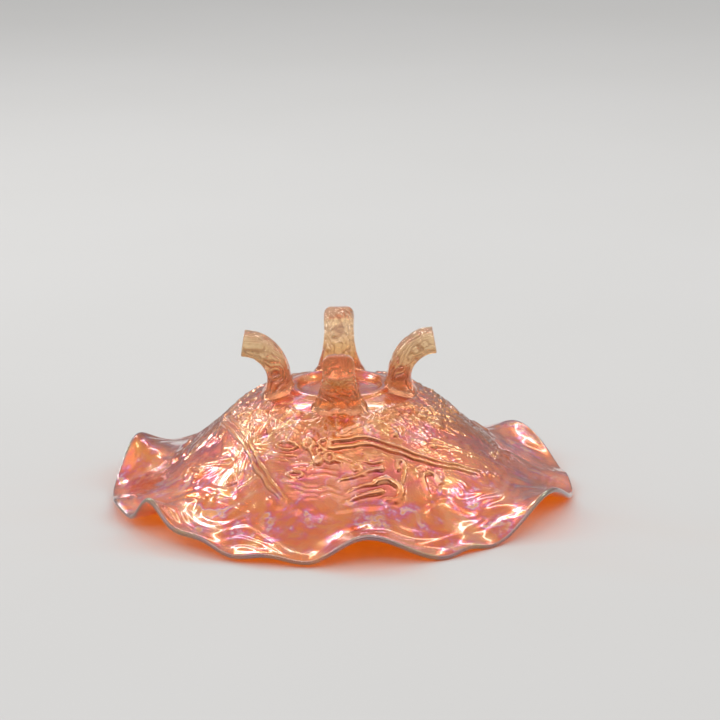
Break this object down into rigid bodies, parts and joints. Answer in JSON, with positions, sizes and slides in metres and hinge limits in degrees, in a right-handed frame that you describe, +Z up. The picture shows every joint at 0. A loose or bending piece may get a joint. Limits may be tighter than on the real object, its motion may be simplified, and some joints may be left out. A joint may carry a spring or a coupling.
{
  "type": "carnival glass bowl",
  "caption": "Iridescent pressed-glass bowl with twig feet, a leaf-patterned wall and a hand-crimped ruffled rim, shown mouth down on its rim.",
  "frame": {"origin": "on the supporting surface, under the middle of the bowl", "axes": "+Z up along the bowl's axis, with the bowl mouth down and its feet up; -Y is the front, where one foot stands"},
  "size_m": [0.2689, 0.2592, 0.098],
  "materials": {
    "base_glass": "fire-polished clear marigold glass",
    "patterned_glass": "moulded leaf relief under an iridescent marigold film",
    "border_glass": "smooth crimped border under an iridescent marigold film",
    "foot_glass": "bark-grained amber glass with a thin iridescent film"
  },
  "bodies": {
    "root": {"centre_medallion": "base_glass", "foot_ring": "base_glass", "bowl_wall": "patterned_glass", "ruffled_rim": "border_glass", "foot_front": "foot_glass", "foot_right": "foot_glass", "foot_back": "foot_glass", "foot_left": "foot_glass"}
  },
  "joints": []
}
